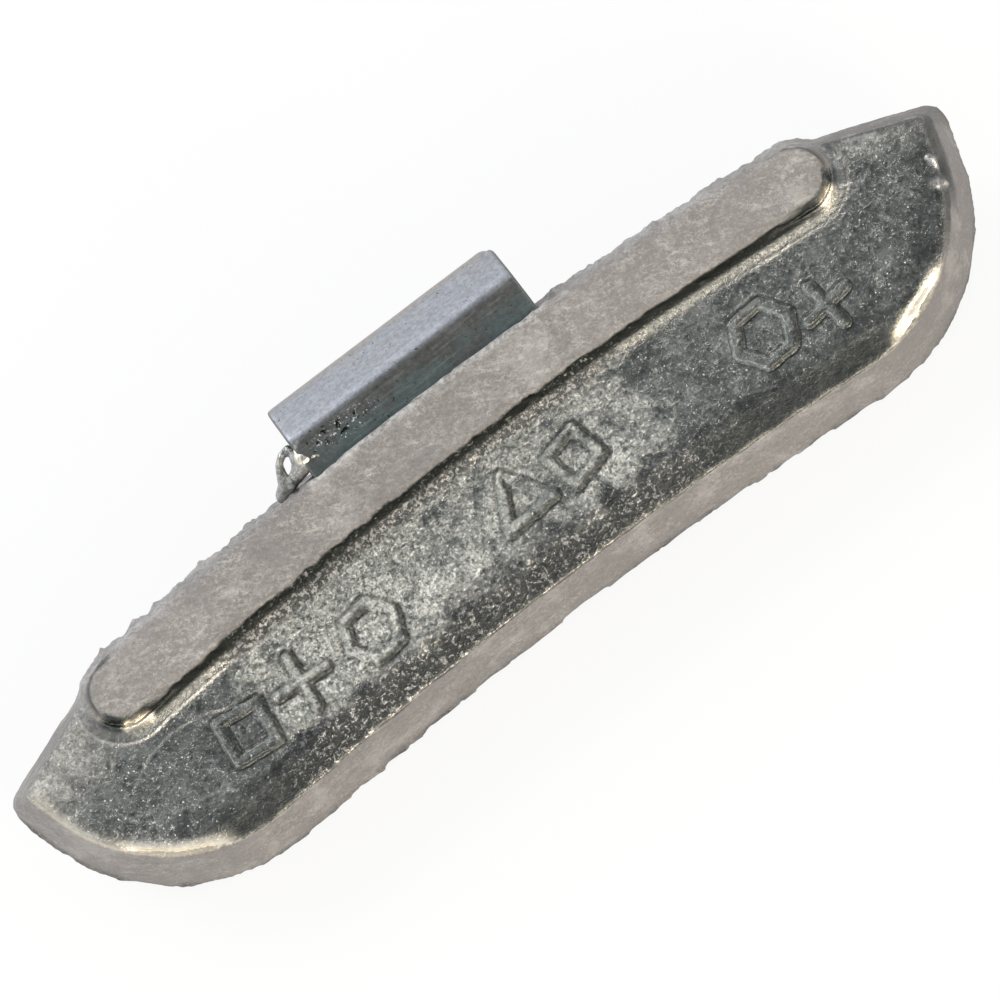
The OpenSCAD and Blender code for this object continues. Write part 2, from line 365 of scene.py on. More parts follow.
def fineAreas(c):
    scratched = np.min([pathDistance(c, line) for line, _ in fineScratches], axis=0) < 0.17
    onLedge = (np.abs(ridgeDistance(c)[0] - castingLook["ledgeAt"]) < 0.14) & (np.abs(c[:, 0]) > 12)
    return (c[:, 2] > 4.7) & ((markDistance(c) < 0.62) | onLedge | scratched
                              | (chipShare(c) > 0.08))


class CastingSkin:
    # Every point of the casting's skin: where it lies, and how far it has been pushed out
    def __init__(self, mesh):
        self.p, self.n = readPoints(mesh), readNormals(mesh)
        self.x, self.y, self.z = self.p.T
        self.reach, self.up = np.abs(self.x), self.n[:, 2]
        self.ridge, self.side = ridgeDistance(self.p)
        self.low, self.shoulder = edgeDepth(self.p)
        self.inset = self.z * form["draft"]
        self.edge = np.minimum(self.low, self.shoulder) - self.inset    # in from the drafted wall
        self.onRidge = rise(self.z, 5.9, 6.15) * rise(-self.ridge, -1.95, -1.6)
        self.onPanel = rise(self.up, 0.75, 0.95) * (1 - rise(self.z, 5.05, 5.3)) \
            * rise(self.z, 4.3, 4.55)
        self.frontSide = rise(self.up, 0.3, 0.6) * rise(self.z, 4.5, 4.8) \
            * (1 - rise(self.z, 5.9, 6.1))
        self.onWall = 1 - rise(self.up, 0.35, 0.7)
        self.aboveRidge = rise(self.side, 0.9, 1.6)
        self.offClip = 1 - 0.85 * rise(-self.reach, -8.6, -7.6) * rise(self.side, 0.5, 1.2)
        self.shift = np.zeros(len(self.p))

    def noise(self, size, seed):
        return softNoise(self.p, size, seed)

    def lumps(self, size, seed, octaves, stretch=(1, 1, 1)):
        return roughNoise(self.p * stretch, size, seed, octaves)


def raiseMarks(s):
    # a rounded line with a fine crease on its shaded side, and the share of painted shade along
    # that side
    m, look = castMarks, castingLook
    near = markDistance(s.p)
    line = near + look["wobble"] * s.noise(0.5, 5)
    s.raised = rise(-line, -m["stroke"] - 0.09, -m["stroke"] + 0.09)
    s.toShade = markSide(s.p, near < 0.9)
    s.crease = band(line, m["stroke"] + 0.12, 0.085) * (0.45 + 0.55 * rise(s.toShade, -0.1, 0.55))
    s.shaded = band(line, m["stroke"] - 0.05, 0.15) * rise(s.toShade, 0.1, 0.5)
    worn = 0.8 + 0.3 * s.noise(1.6, 11)
    s.shift += s.onPanel * (m["height"] * s.raised * worn - m["groove"] * s.crease)


def waveAndStep(s):
    # slow waves, and a slight step where the ridge's fillet ends, clearest at both ends
    look = castingLook
    s.shift += s.onPanel * look["panelWaves"] * (s.noise(6, 21) + 0.6 * s.noise(2.4, 22))
    ends = (0.1 + 0.9 * rise(s.reach, 14, 20)) * (1 - 0.45 * rise(s.x, 4, 14))
    line = s.ridge + 0.07 * s.noise(3, 31)
    inside = rise(-line, -look["ledgeAt"] - 0.07, -look["ledgeAt"] + 0.07)
    s.shift += s.frontSide * look["ledge"] * inside * ends
    s.bead = band(line, look["ledgeAt"], 0.1) * ends \
        * (0.35 + 0.65 * rise(s.noise(2.1, 35), -0.3, 0.4))
    s.shift += s.frontSide * look["ledgeBead"] * s.bead


def rollEdges(s):
    # the edge of the panel is rolled over along both lower corners, and a warm highlight is painted
    # there
    look = castingLook

    def arc(along, name):
        starts, ends = look[name]
        return rise(along, *starts) * (1 - rise(along, *ends))

    corners = arc(-s.x, "leftArc") + arc(s.x, "rightArc")
    arcs = np.maximum(corners, look["tipRim"] * arc(-s.x, "tipArc")) * rise(-s.y, 5, 7)
    s.rolled = arcs * band(np.maximum(s.edge - 0.1, 0), 0, look["rolledWidth"]) \
        * rise(s.up, 0.3, 0.5) * rise(s.z, 4.2, 4.5)
    s.shift -= look["rolled"] * s.rolled * (1 + 0.2 * s.noise(0.8, 33))


def roughenSkin(s):
    # cast skin on the walls, on the ridge's face and round its edge
    look = castingLook
    back = rise(-s.up, 0.8, 0.95)
    s.shift += (s.onWall + s.onRidge * 0.35 + back * 0.5) * look["skinLumps"] \
        * s.lumps(1.3, 41, 4) * s.offClip
    ridgeEdge = rise(s.z, 5.4, 5.8) * rise(s.ridge, 1.35, 1.6) * rise(-s.side, 0.2, 0.8)
    wear, steadyWear = look["ridgeEdgeWear"]
    wear = wear - (wear - steadyWear) * rise(s.x, *look["ridgeEdgeSteady"])
    s.shift += ridgeEdge * wear * s.lumps(0.6, 43, 3, (1, 1, 0.4))
    s.shift += s.onPanel * look["panelGrain"] * s.lumps(0.5, 46, 2)
    s.shift -= look["sinks"] * rise(s.lumps(0.9, 51, 2), 0.55, 1.2) * (s.onWall + 0.4 * s.onRidge)
    lowerEdge = s.onWall * rise(s.z, 4.0, 4.5)
    s.shift -= lowerEdge * look["lowerEdgeWear"] * rise(s.lumps(1.1, 75, 2), 0.45, 1.1)


def tearEdges(s):
    # torn top edge, and the burr along the back
    look = castingLook
    torn = s.lumps(0.8, 61, 3, (1, 1, 0.45))
    topEdge = s.aboveRidge * s.onWall * (1 - rise(s.reach, 23, 25.5))
    rough = look["topRoughness"] * torn + look["topCrests"] * rise(torn, 0.7, 1.5) \
        + look["topGrain"] * s.lumps(0.4, 65, 2)
    s.shift += topEdge * s.offClip * rough
    along = s.p * [1, 1, 0.2]
    s.ragged = rise(softNoise(along, 0.55, 71) + 0.9 * softNoise(along, 1.9, 72), -0.4, 1.1)
    burr = band(s.z, 0.12, 0.2) * s.onWall * rise(-s.y, 4.5, 6) \
        * (0.25 + 0.75 * rise(s.noise(3.3, 73), -0.3, 0.5)) \
        * (1 - 0.9 * rise(s.x, *look["flashFades"]))
    s.shift += look["flash"] * burr * (0.2 + 0.8 * s.ragged)


def knockEnds(s):
    for x, y, z, radius, height in castingLook["knocks"]:
        away = (s.x - x) ** 2 + (s.y - y) ** 2 + (s.z - z) ** 2
        s.shift += height * np.exp(-(away / radius ** 2))


def closeOnClip(s):
    # zinc creeps up round the clip where it comes out
    atClip = rise(-s.reach, -8.5, -7.7) * rise(s.side, 0.5, 1.5) * rise(s.z, 3.8, 5)
    s.shift += atClip * (castingLook["zincAtClip"] + 0.03 * s.noise(0.6, 81))


def creaseAndScratch(s):
    # the outline of the ridge's ends shows above too, as a thin crease
    look = castingLook
    s.endCrease = band(s.ridge, look["endCreaseAt"], 0.09) * rise(s.reach, 21.6, 22.6) \
        * rise(s.side, -0.9, 0.2) * rise(s.z, 5.2, 5.6)
    s.shift -= look["endCrease"] * s.endCrease
    s.scratches = scratchShare(s.p) * s.onPanel
    s.chips = chipShare(s.p) * rise(s.up, 0.3, 0.6)
    s.shift += look["chipHeight"] * s.chips * (1 + 0.9 * s.noise(0.25, 77)) \
        - look["scratchDepth"] * s.scratches


def pushedOut(s):
    # both ends of the ridge's face slope off along its lower side
    moved = s.p + s.n * s.shift[:, None]
    s.atEnd = rise(s.reach, 19.5, 22.5) * rise(s.z, 5.5, 5.9) * rise(-s.side, -0.2, 0.7)
    moved[:, 2] -= castingLook["endSlope"] * s.atEnd * rise(s.ridge, 1.35, 1.75)
    h = castingLook["hollow"]
    kept = (s.reach < h["half"]) & (s.z > h["floor"]) & (s.z < h["roof"]) & (s.side < 1.2) \
        & (s.y > h["bottom"]) & (s.low > h["inside"]) & (s.up < 0.2)
    moved[kept] = s.p[kept]
    return moved


def castingMasks(s):
    # what the material reads: the share of each finish at every point, and where shade and
    # highlights are painted
    onRight, onLeft = rise(s.x, 0, 1), s.x < 0
    fromAxis = np.hypot(s.x, s.y - form["axis"]) - form["bottomRadius"]
    # the bevel along the lower edge, widened by a zone at the right, is painted dark as a dark
    # reflection
    bevel = rise(-fromAxis + 0.5 * s.noise(1.1, 95), -4.3, -2.3)
    rightDark = rise(s.x, 15, 19) * rise(-s.y, 5.5, 7.5) \
        * (1 - rise(s.low - s.inset + 0.6 * s.noise(1.6, 96), 0.8, 2.9))
    bevel = np.maximum(bevel, 0.5 * rightDark) * (1 - s.onWall)
    ridgeFace = s.onRidge * (1 - s.atEnd * rise(s.ridge, 1.3, 1.55))
    # painted shade on the ridge's lower wall, and fainter in the groove below it
    ridgeWall = rise(s.z, 5.1, 5.35) * (1 - ridgeFace) * rise(-s.side, 0.2, 0.9) \
        * rise(-s.ridge, -2.4, -2.1) * (1 - 0.35 * rise(s.reach, 21, 23.5))
    satin = np.maximum(ridgeFace, 1 - rise(s.up, 0.5, 0.8))
    inGroove = rise(-s.side, 0.2, 0.9) * rise(-s.ridge, -3.1, -2.7) * rise(s.z, 4.6, 4.9)
    satin = np.maximum(satin * (1 - inGroove) + ridgeFace, s.aboveRidge)
    shoulders = rise(s.reach, 24.0, 26.0) * rise(s.z, 4.0, 4.6) \
        * rise(-s.shoulder, np.where(onLeft, -5.4, -3.6), np.where(onLeft, -1.6, -0.6))
    middle = rise(s.x, -20.5, -15.5) * (1 - 0.14 * rise(s.x, -6, -2)) \
        * (1 - rise(s.x, 6.5, 13.5)) * (1 - 0.7 * bevel)
    beside = rise(s.up, 0.3, 0.5) * (1 - rise(s.up, 0.93, 0.99)) * rise(s.z, 4.1, 4.5) \
        * (1 - rise(s.z, 5.1, 5.3)) * rise(-s.edge, -0.8, -0.5)
    # painted shade runs from the dark panel over the edge of the right end, next to its tip
    overEnd = rise(s.x, 27.5, 29.3) * rise(s.z, 3.0, 3.9) * rise(s.y, -12, -9) * (1 - s.aboveRidge)
    atTip = (overEnd * s.onWall + beside * rise(s.x, 25.5, 28.5)) \
        * rise(s.shoulder - s.low, -0.2, 0.6)
    shoulderWall = s.onWall * rise(-s.shoulder, -1.9, -1.3) * rise(s.reach, 24, 26.5)
    glint = sum(band(segmentDistance(s.p, a, b), 0, width) for a, b, width in castingLook["glints"])
    return {
        "satin": satin,
        "ridgeFace": ridgeFace,
        "wall": s.onWall * (1 - s.aboveRidge),
        "underRidge": np.maximum(ridgeWall, 0.3 * rise(-s.ridge, -2.75, -2.3) * s.frontSide
                                 * rise(-s.side, 0.6, 1.3)),
        "frosted": middle,
        "shoulder": shoulders * (0.86 - 0.26 * onRight),
        "markEdge": s.onPanel * np.maximum(s.crease, 0.92 * s.shaded),
        "markTop": s.onPanel * s.raised * rise(-s.toShade, -0.6, 0.4),
        "ledgeLine": s.frontSide * s.bead,
        "burr": band(s.z, 0, 0.42) * s.onWall * rise(-s.y, 4.5, 6) * (0.3 + 0.7 * s.ragged),
        "rolled": s.rolled,
        "scratched": s.scratches,
        "glint": glint * rise(s.z, 4.8, 5.0),
        "chips": s.chips,
        "endCrease": s.endCrease,
        "clipLine": rise(s.side, 1.38, 1.55) * rise(s.z, 5.2, 5.6) * rise(-s.reach, -8.2, -7.6),
        "bevel": bevel * (1 - s.rolled),
        "fillet": s.frontSide * rise(-s.side, 0.3, 1) * rise(s.ridge, 1.9, 2.2)
        * (1 - rise(s.ridge, 2.75, 3.05)),
        "dimWall": rise(s.reach, 18, 26) * s.onWall * (0.35 + 0.65 * rise(s.x, 10, 20)),
        "edgeShade": beside * (0.35 + 0.5 * rise(s.x, 2, 8) + 0.15 * rise(s.x, 22, 27)),
        "endShade": (atTip + shoulderWall * (0.14 + 0.2 * onRight)) * (1 - 0.7 * s.chips),
    }


def castingShape():
    look = castingLook
    casting = evenSkin("cast_body", "zincCasting", look["voxel"], look["smoothing"])
    thinOut(casting, plainAreas, look["plainKept"])
    refine(casting, fineAreas)
    skin = CastingSkin(casting.data)
    for shape in (raiseMarks, waveAndStep, rollEdges, roughenSkin, tearEdges, knockEnds,
                  closeOnClip, creaseAndScratch):
        shape(skin)
    moved = pushedOut(skin)
    for name, share in castingMasks(skin).items():
        setMask(casting.data, name, share)
    finishPiece(casting, moved, "cast_body")
    return casting


# Steel clip: even skin of its solid, with small pits and a pressed, slightly worn surface
clipLook = {
    "voxel": 0.12, "smoothing": 6,
    "waves": 0.012, "grain": 0.004,
    "pitDepth": 0.07, "pitsAt": (-4.5, -0.25), "pitsSpread": (2.2, 0.6),
    "crownWear": 0.035,
    "nick": 0.08, "nickAt": (-7.4, 0.6, 5.8), "nickSize": 0.3,     # in the left cut edge
    "cornerRound": 0.8,      # radius of the crown's right corner
}


def clipShape():
    look = clipLook
    clip = evenSkin("spring_clip", "steelClip", look["voxel"], look["smoothing"])
    mesh = clip.data
    p, n = readPoints(mesh), readNormals(mesh)
    facing = rise(n[:, 2], 0.4, 0.7)
    shift = look["waves"] * softNoise(p, 3.2, 101) + look["grain"] * roughNoise(p, 0.6, 102, 2)
    fromPits = (p[:, :2] - look["pitsAt"]) / look["pitsSpread"]
    pitted = np.exp(-(fromPits ** 2).sum(1)) * facing
    shift -= look["pitDepth"] * rise(roughNoise(p, 0.32, 111, 2), 0.5, 0.9) * pitted
    shift += look["crownWear"] * roughNoise(p, 0.7, 113, 3) * rise(p[:, 1], 4.2, 5.2)
    fromNick = (p - look["nickAt"]) / look["nickSize"]
    shift -= look["nick"] * np.exp(-(fromNick ** 2).sum(1))
    moved = p + n * shift[:, None]
    centre = p.max(0)[:2] - look["cornerRound"]
    out = moved[:, :2] - centre
    beyond = (out > 0).all(1)
    out[beyond] *= (out[beyond].max(1) / np.hypot(*out[beyond].T))[:, None]
    moved[beyond, :2] = out[beyond] + centre
    setMask(mesh, "crown", rise(p[:, 1], 2.6, 3.4))
    # the upper sloping face, which the material paints lit as a reflection
    setMask(mesh, "litFacet", rise(p[:, 1], 0.3, 0.6) * rise(n[:, 1], 0.2, 0.5))
    setMask(mesh, "pitted", pitted)
    setMask(mesh, "cutEdge", rise(np.abs(n[:, 0]), 0.35, 0.7))
    setMask(mesh, "foot", rise(-p[:, 1], -0.25, 0.7) * facing)
    finishPiece(clip, moved, "spring_clip")
    return clip


# Zinc flash that ran out beside the clip: a thin arch with a hole under it, and a smear.
# Each line is of points x, y, z with the flash's radius there.
flashLook = {
    "arch": [(-9.5, -1.1, 4.4, 0.42), (-9.0, -0.7, 4.5, 0.4), (-8.85, -0.1, 4.6, 0.3),
             (-8.65, 0.35, 4.7, 0.24), (-8.25, 0.65, 4.7, 0.24), (-7.8, 0.7, 4.8, 0.28),
             (-7.62, 0.3, 4.9, 0.34), (-7.7, -0.3, 5.0, 0.42), (-8.2, -0.7, 4.7, 0.4),
             (-8.9, -0.9, 4.5, 0.4)],
    "smear": [(-8.2, -0.75, 5.0, 0.45), (-7.6, -0.7, 5.45, 0.4), (-7.42, -0.2, 5.55, 0.36),
              (-7.35, 0.2, 5.55, 0.3), (-7.3, -0.5, 5.6, 0.34), (-6.95, -0.55, 5.66, 0.27),
              (-6.6, -0.75, 5.7, 0.24)],
    "beads": 5,              # balls along each stretch, before they are joined
    "voxel": 0.07, "smoothing": 8,
    "lumps": 0.045, "frosted": 0.7,
}


def flashShape():
    look = flashLook
    bm = bmesh.new()
    for line in (look["arch"], look["smear"]):
        for start, end in zip(line[:-1], line[1:]):
            for t in np.linspace(0, 1, look["beads"]):
                x, y, z, radius = np.array(start) + (np.array(end) - start) * t
                bmesh.ops.create_icosphere(bm, subdivisions=2, radius=radius,
                                           matrix=Matrix.Translation((x, y, z)))
    mesh = bpy.data.meshes.new("zincFlash")
    bm.to_mesh(mesh)
    bm.free()
    flash = bpy.data.objects.new("zincFlash", mesh)
    bpy.context.scene.collection.objects.link(flash)
    joinAndSmooth(flash, look["voxel"], look["smoothing"])
    mesh = flash.data
    p, n = readPoints(mesh), readNormals(mesh)
    moved = p + n * (look["lumps"] * roughNoise(p, 0.5, 121, 3))[:, None]
    setMask(mesh, "satin", 0.35 + 0.5 * softNoise(p, 0.8, 131))
    setMask(mesh, "frosted", np.full(len(p), look["frosted"]))
    # painted warm highlight on the part of the flash next to the clip
    setMask(mesh, "rolled", rise(p[:, 0], -7.9, -7.3) * rise(softNoise(p, 0.35, 132), -0.1, 0.4))
    finishPiece(flash, moved)
    return flash


# A socket of a shader tree: arithmetic on it adds Math nodes to the tree
class Wire:
    def __init__(self, tree, socket=None):
        self.tree, self.socket = tree, socket

    def node(self, kind, settings=None, sockets=None, out=0):
        made = self.tree.nodes.new(kind)
        for key, value in (settings or {}).items():
            if key == "stops":
                elements = made.color_ramp.elements
                while len(elements) > 1:
                    elements.remove(elements[-1])
                for i, (at, colour) in enumerate(value):
                    stop = elements[0] if i == 0 else elements.new(at)
                    stop.position, stop.color = at, (*colour, 1)
            else:
                setattr(made, key, value)
        for key, value in (sockets or {}).items():
            if isinstance(value, Wire):
                self.tree.links.new(value.socket, made.inputs[key])
            else:
                made.inputs[key].default_value = value
        return Wire(self.tree, made.outputs[out] if made.outputs else None)

    def math(self, operation, a, b=0.0, clamp=False):
        return self.node("ShaderNodeMath", {"operation": operation, "use_clamp": clamp},
                         {0: a, 1: b})

    def __abs__(self):
        return self.math("ABSOLUTE", self)

    def __add__(self, other):
        return self.math("ADD", self, other)

    def __sub__(self, other):
        return self.math("SUBTRACT", self, other)

    def __rsub__(self, other):
        return self.math("SUBTRACT", other, self)

    def __mul__(self, other):
        return self.math("MULTIPLY", self, other)

    __radd__, __rmul__ = __add__, __mul__

    def clamp(self):
        return self.math("ADD", self, 0.0, True)

    def step(self, low, high):
        return self.node("ShaderNodeMapRange", {"interpolation_type": "SMOOTHSTEP"},
                         {"Value": self, "From Min": low, "From Max": high})

    def stretch(self, scale):
        return self.node("ShaderNodeVectorMath", {"operation": "MULTIPLY"}, {0: self, 1: scale})

    def turned(self, angles):
        return self.node("ShaderNodeMapping", {}, {"Vector": self, "Rotation": angles})

    def noise(self, scale, detail=4.0, roughness=0.55, distortion=0.0):
        return self.node("ShaderNodeTexNoise", {}, {
            "Vector": self, "Scale": scale, "Detail": detail, "Roughness": roughness,
            "Distortion": distortion})

    def cells(self, scale, out=0):
        return self.node("ShaderNodeTexVoronoi", {}, {"Vector": self, "Scale": scale}, out)

    def blend(self, a, b, mode="MIX"):
        # Colour from a to b, or to a times b, as this value goes from 0 to 1
        def colour(c):
            return c if isinstance(c, Wire) else (*c, 1)
        return self.node("ShaderNodeMix", {"data_type": "RGBA", "blend_type": mode},
                         {0: self, 6: colour(a), 7: colour(b)}, 2)


def emptyTree(owner):
    owner.use_nodes = True
    owner.node_tree.nodes.clear()
    return Wire(owner.node_tree)


def startMaterial(name):
    # The place comes in millimetres
    material = bpy.data.materials.new(name)
    wire = emptyTree(material)
    place = wire.node("ShaderNodeTexCoord", out="Object").stretch((1000, 1000, 1000))
    return material, wire, place


def surface(wire, fixed, varying):
    shader = wire.node("ShaderNodeBsdfPrincipled", {}, {**fixed, **varying})
    wire.node("ShaderNodeOutputMaterial", {}, {"Surface": shader})


def mask(wire, name):
    return wire.node("ShaderNodeAttribute", {"attribute_name": name}, out="Fac")


def paint(obj, material):
    obj.data.materials.clear()
    obj.data.materials.append(material)


# Zinc as cast: glossy dark panel that turns frosty and crumpled, pale satin walls and ridge, with
# painted shade and painted highlights
zincFinish = {
    # Some of these colours stand for light. The deep dark of the bevel is painted shade on the
    # bevel, the fillet and the edges, and dark grain in the frost. The near black for creases is
    # painted shade there and under the ridge. The dark beside it is for dark flecks and painted
    # shade. The warm near-white is a painted highlight.
    "panel": (0.355, 0.37, 0.362), "panelDeep": (0.145, 0.152, 0.15),
    "bevelDeep": (0.058, 0.062, 0.06), "frost": (0.52, 0.545, 0.50),
    "satin": (0.44, 0.422, 0.41), "satinDark": (0.27, 0.258, 0.25), "satinPale": (0.62, 0.60, 0.58),
    "wallTint": (0.82, 0.81, 0.80), "crease": (0.03, 0.033, 0.03), "darkFlecksAndShade": (0.05, 0.055, 0.055),
    "spark": (0.97, 0.97, 0.94), "warmHighlight": (0.98, 0.90, 0.74),
    "panelRoughness": 0.26, "satinRoughness": 0.6,
    "metallic": 1.0, "metallicLossOnWalls": 0.45,
    "bumpDistance": 0.0002,
    # how fine each texture is: features per millimetre, more or less
    "blotch": 0.32, "patch": 0.6, "coil": 1.8, "coilPatch": 1.2, "crumple": 3.1, "foil": 4.3,
    "fine": 6.5, "flakes": 3.6, "hairsA": 1.3, "hairsB": 1.2, "streaks": 1.1,
}

zincMasks = ("satin", "ridgeFace", "wall", "underRidge", "frosted", "shoulder", "markEdge",
             "markTop", "ledgeLine", "burr", "rolled", "scratched", "glint", "chips", "endCrease",
             "clipLine", "bevel", "fillet", "dimWall", "edgeShade", "endShade")


def zincTextures(place):
    f, t = zincFinish, SimpleNamespace()
    t.patch = place.noise(f["patch"], 6, 0.62, 0.3)
    t.blotch = place.noise(f["blotch"], 4, 0.6, 0.4)
    t.crumple = place.noise(f["crumple"], 4, 0.62, 0.6)
    t.fine = place.noise(f["fine"], 4, 0.7, 0.2)
    t.foil = place.noise(f["foil"], 5, 0.78, 0.35)
    t.hairsA = place.turned((0.3, 0.2, 0.9)).stretch((0.6, 5.5, 5.5)) \
        .noise(f["hairsA"], 3, 0.6, 0.3)
    t.hairsB = place.turned((0.1, -0.3, -0.5)).stretch((0.6, 6.5, 6.5)) \
        .noise(f["hairsB"], 3, 0.6, 0.3)
    t.streaks = place.turned((0.2, 0.1, 0.45)).stretch((0.45, 2.6, 2.6)) \
        .noise(f["streaks"], 5, 0.72, 0.6)
    coil = place.noise(f["coil"], 1.5, 0.5, 1.6) - 0.5
    t.worms = (1 - abs(coil).step(0.012, 0.036)) \
        * place.noise(f["coilPatch"], 3, 0.6).step(0.49, 0.57)
    flake = place.node("ShaderNodeSeparateColor", {}, {0: place.cells(f["flakes"], out=1)})
    dots = 1 - (place.cells(f["flakes"]) - (t.fine - 0.5) * 0.5).step(0.08, 0.22)
    t.sparks = (dots * flake.step(0.8, 0.86)).clamp()
    t.hairs = (t.hairsA.step(0.62, 0.72) + t.hairsB.step(0.64, 0.74)).clamp() \
        * t.patch.step(0.38, 0.6)
    return t


def panelColour(m, t, frost):
    # dark glossy metal first, then frost, crumbs and scratches, then painted shade along its edges,
    # on the bevel and fillet, under the ridge and beside the marks, and painted highlights on the
    # marks and the ledge
    f = zincFinish
    colour = (t.patch * 0.9 + t.crumple * 0.8 - 0.5).step(0.08, 0.6) \
        .blend(f["panelDeep"], f["panel"])
    colour = (frost * (0.2 + t.foil.step(0.42, 0.56) * 0.75)).blend(colour, f["frost"])
    blot = (t.crumple * 0.9 + t.fine * 0.5).step(0.52, 0.66)
    colour = ((1 - blot) * (0.42 + frost * 0.1)).blend(colour, f["darkFlecksAndShade"])
    colour = ((1 - t.foil.step(0.4, 0.47)) * (0.3 + frost * 0.5)).blend(colour, f["darkFlecksAndShade"])
    speckle = (t.fine * 0.9 + t.crumple * 0.7 + frost * 0.15).step(0.92, 1.06)
    colour = (speckle * 0.8).blend(colour, f["spark"])
    colour = (t.foil.step(0.57, 0.63) * (0.05 + m.frosted * 0.3 + frost * 0.8)).clamp() \
        .blend(colour, f["spark"])
    colour = (t.hairs * 0.5).blend(colour, f["frost"])
    colour = (t.worms * (0.75 - m.bevel * 0.5)).clamp().blend(colour, f["satinPale"])
    colour = t.sparks.blend(colour, f["spark"])
    # painted shade on the fillet band under the ridge
    colour = (m.fillet * (0.3 + t.fine * 0.7)).blend(colour, f["panelDeep"])
    colour = (m.fillet * m.frosted * 0.8).blend(colour, f["bevelDeep"])
    # painted dark reflection on the bevel
    colour = (m.bevel * 0.9).blend(colour, f["bevelDeep"])
    colour = ((1 - t.fine.step(0.36, 0.43)) * frost * 0.55).blend(colour, f["bevelDeep"])
    grain = (t.crumple * 0.8 + t.fine * 0.6).step(0.72, 0.82)
    crumbs = grain * m.bevel * (0.04 + m.frosted * 1.6) \
        + t.foil.step(0.5, 0.56) * m.fillet * m.frosted * 0.8
    colour = crumbs.clamp().blend(colour, f["satinPale"])
    # painted light on the tops of the raised marks, away from their shaded side
    colour = (m.markTop * 0.3).blend(colour, f["frost"])
    # painted shade under the ridge
    colour = (m.underRidge * (1 - speckle * 0.5)).blend(colour, f["crease"])
    # painted shade along the shaded side of the raised marks
    colour = (m.markEdge * 0.92).blend(colour, f["crease"])
    colour = (m.edgeShade * (0.6 + t.crumple * 0.4)).clamp().blend(colour, f["bevelDeep"])
    colour = (m.chips * (0.5 + t.fine * 0.8)).clamp().blend(colour, f["satinPale"])
    # painted highlight along the ledge line, and pale scratches
    return ((m.ledgeLine * 0.6 + m.scratched) * (0.4 + t.fine * 0.7)).clamp() \
        .blend(colour, f["satinPale"])


def satinColour(m, t):
    # pale matt zinc of the walls, the top and the ridge, with painted shade in the crease at the
    # ridge's ends and a painted highlight along the edge where the clip comes out
    f = zincFinish
    colour = (t.patch * 0.8 + t.crumple * 0.5).step(0.5, 0.85).blend(f["satinDark"], f["satin"])
    colour = (t.fine.step(0.5, 0.64) * 0.6).blend(colour, f["satinPale"])
    colour = (t.foil.step(0.5, 0.6) * 0.3).blend(colour, f["satinPale"])
    colour = ((1 - t.foil.step(0.38, 0.48)) * 0.5).blend(colour, f["satinDark"])
    colour = ((t.fine * 0.8 + t.patch * 0.35).step(0.67, 0.75) * 0.8).blend(colour, f["darkFlecksAndShade"])
    colour = (m.dimWall * 0.85).blend(colour, f["satinDark"])
    hairs = (t.hairsA.step(0.58, 0.68) + t.hairsB.step(0.6, 0.7)).clamp()
    colour = (hairs * 0.6).blend(colour, f["satinPale"])
    colour = (t.streaks.step(0.52, 0.6) * (0.25 + m.ridgeFace * 0.3)).blend(colour, f["satinDark"])
    colour = ((1 - t.streaks.step(0.38, 0.46)) * (0.2 + m.ridgeFace * 0.35)) \
        .blend(colour, f["satinPale"])
    cuts = ((0.42 - t.hairsA).step(0.0, 0.08) + (0.41 - t.hairsB).step(0.0, 0.08)).clamp()
    colour = (cuts * (0.55 + m.ridgeFace * 0.35)).blend(colour, f["satinDark"])
    colour = (t.worms * 0.4).blend(colour, f["satinDark"])
    colour = (t.patch.step(0.5, 0.62) * 0.3).blend(colour, f["satinDark"])
    colour = (t.blotch.step(0.46, 0.58) * 0.4).blend(colour, f["satinDark"])
    colour = ((1 - t.blotch.step(0.36, 0.48)) * 0.3).blend(colour, f["satinPale"])
    colour = m.wall.blend(colour, f["wallTint"], "MULTIPLY")
    colour = (m.burr * t.fine.step(0.4, 0.52)).blend(colour, f["darkFlecksAndShade"])
    # painted shade in the thin crease at the ridge's ends
    colour = (m.endCrease * (0.35 + t.crumple)).clamp().blend(colour, f["darkFlecksAndShade"])
    # painted highlight along the ridge's edge where the clip comes out
    return (m.clipLine * t.crumple.step(0.4, 0.6) * 0.4).blend(colour, f["spark"])


